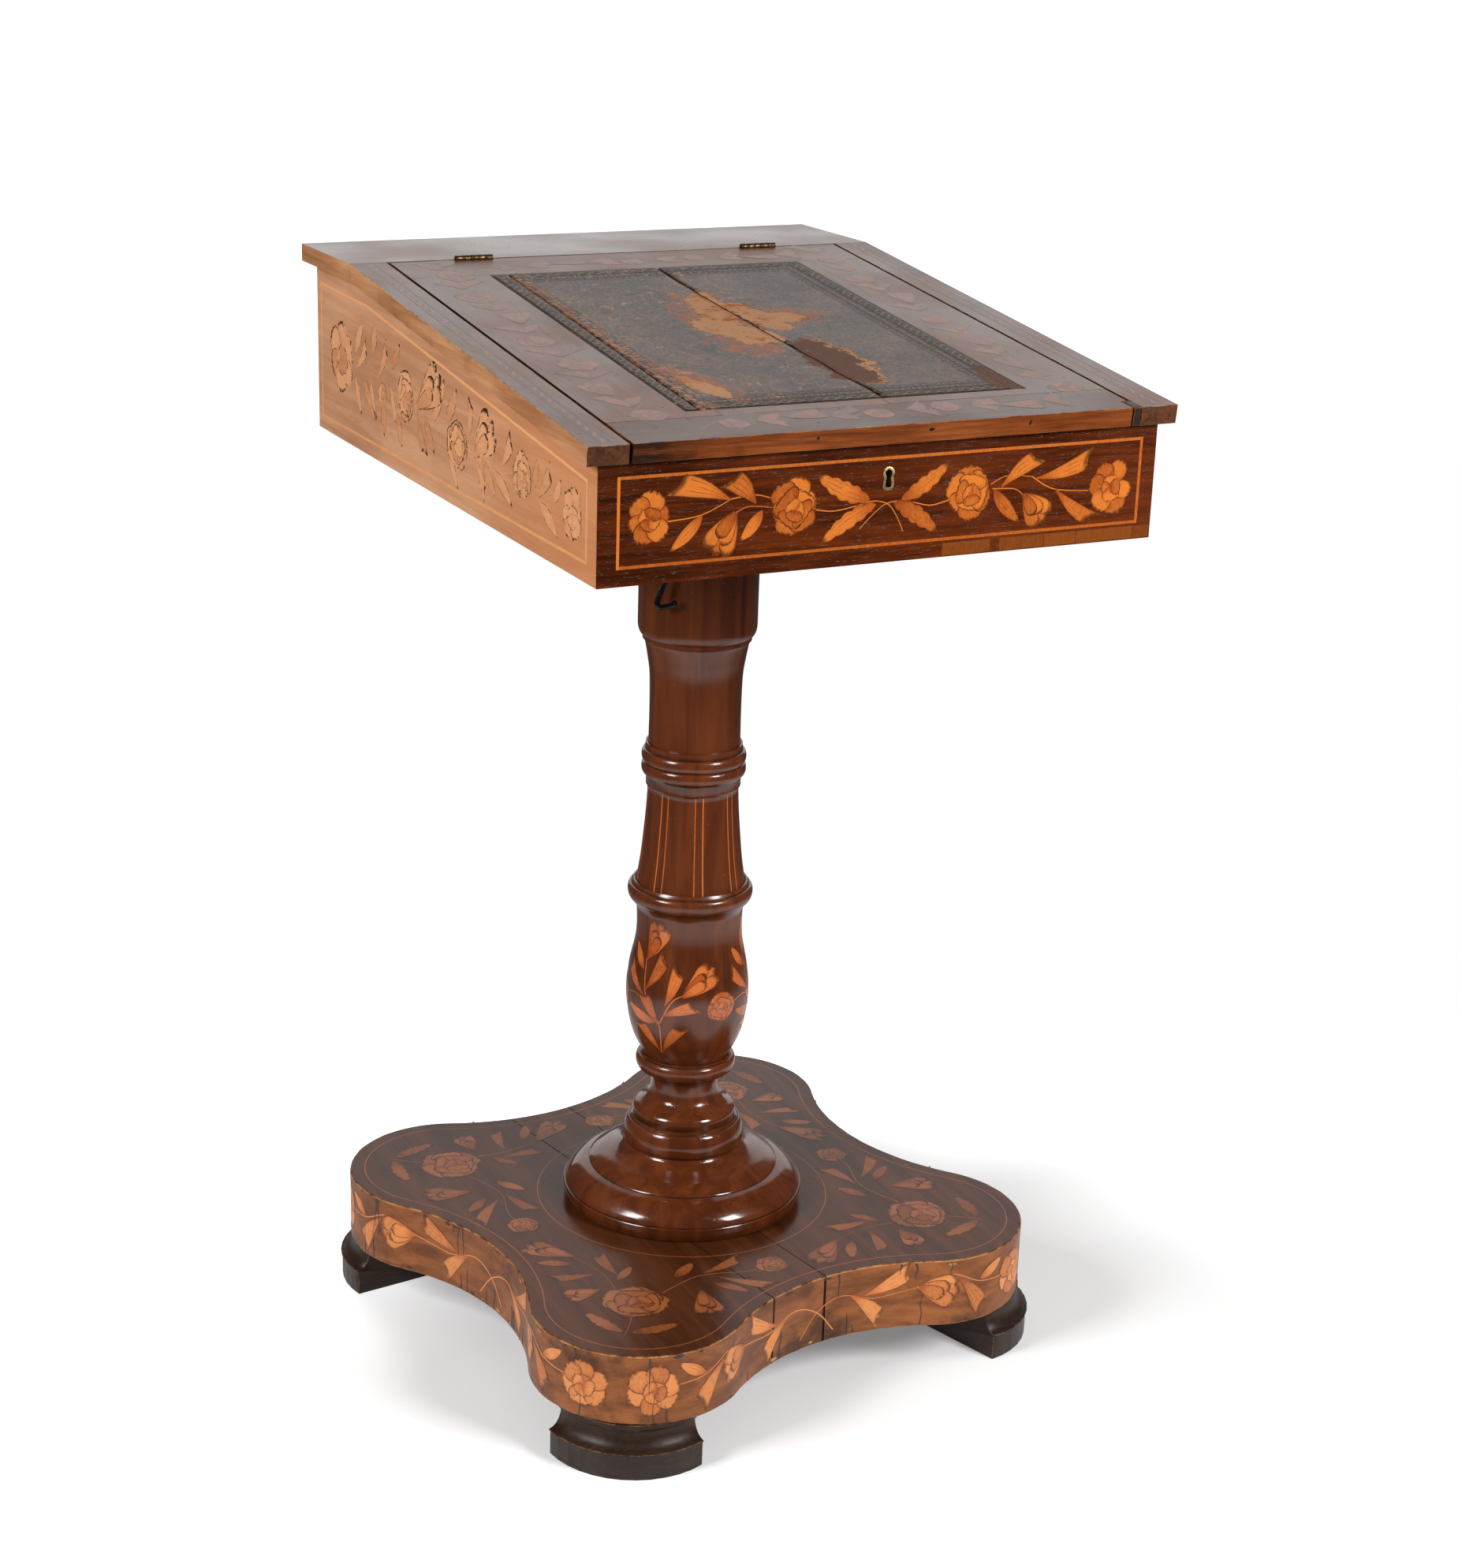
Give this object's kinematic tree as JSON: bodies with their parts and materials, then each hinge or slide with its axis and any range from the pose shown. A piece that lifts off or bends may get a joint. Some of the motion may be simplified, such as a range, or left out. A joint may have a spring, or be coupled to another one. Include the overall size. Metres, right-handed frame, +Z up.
{
  "type": "pedestal writing desk",
  "caption": "Slope-top writing desk: a shallow marquetry box with a hinged leather-lined lid and a lock, turning on a turned column that stands on a lobed platform with moulded feet.",
  "frame": {"origin": "on the floor under the middle of the top, the centre of the bounding box", "axes": "+X to the right along the desk's front, -Y towards the user in front of it, +Z up"},
  "size_m": [0.524, 0.59, 0.8851],
  "materials": {
    "feet": "ebonised, worn",
    "platform": "marquetry veneer, waxed",
    "column": "french polished",
    "front": "french polished veneer",
    "sides": "faded veneer",
    "top": "marquetry veneer, worn polish",
    "carcass": "bare wood",
    "leather": "tooled and worn",
    "brass": "aged",
    "iron": "black, glossy"
  },
  "bodies": {
    "base": {"foot_front_left": "feet", "foot_front_right": "feet", "foot_back_left": "feet", "foot_back_right": "feet", "platform_plank_left": "platform", "platform_plank_middle": "platform", "platform_plank_right": "platform", "column_dome": "column", "column_stem": "column", "column_baluster": "column", "column_shaft": "column", "column_neck": "column", "column_collar": "column"},
    "desk": {"front_panel": "front", "back_panel": "carcass", "left_panel": "sides", "right_panel": "sides", "bottom_board": "carcass", "pivot_block": "carcass", "top_board": "top", "left_cap_strip": "top", "right_cap_strip": "top", "corner_block": "carcass", "keyhole_escutcheon": "brass", "lock_case": "brass", "lock_cap": "brass", "left_hinge_fixed_leaf": "brass", "right_hinge_fixed_leaf": "brass", "left_hinge_pin": "brass", "right_hinge_pin": "brass", "screw_eye": "iron"},
    "lid": {"lid_board_left": "top", "lid_board_middle": "top", "lid_board_right": "top", "lid_front_clamp": "top", "lid_back_clamp": "top", "leather_panel": "leather", "left_hinge_lid_leaf": "brass", "right_hinge_lid_leaf": "brass", "strike_plate": "brass"},
    "bolt": {"lock_bolt": "brass"},
    "hook": {"iron_hook": "iron"}
  },
  "joints": [
    {"name": "desk_swivel", "type": "hinge", "parent": "base", "child": "desk", "pos_m": [0, 0.008, 0.736], "axis": [0, 0, 1], "continuous": true},
    {"name": "lid_hinge", "type": "hinge", "parent": "desk", "child": "lid", "pos_m": [0, 0.17505, 0.8828], "axis": [-1, 0, 0], "range_deg": [0, 170]},
    {"name": "bolt_throw", "type": "slide", "parent": "desk", "child": "bolt", "axis": [0, 0, 1], "range_m": [0, 0.006]},
    {"name": "hook_swing", "type": "hinge", "parent": "desk", "child": "hook", "pos_m": [-0.0432, -0.0289, 0.7214], "axis": [0.4321, 0.9018, 0], "range_deg": [-75, 75]}
  ]
}
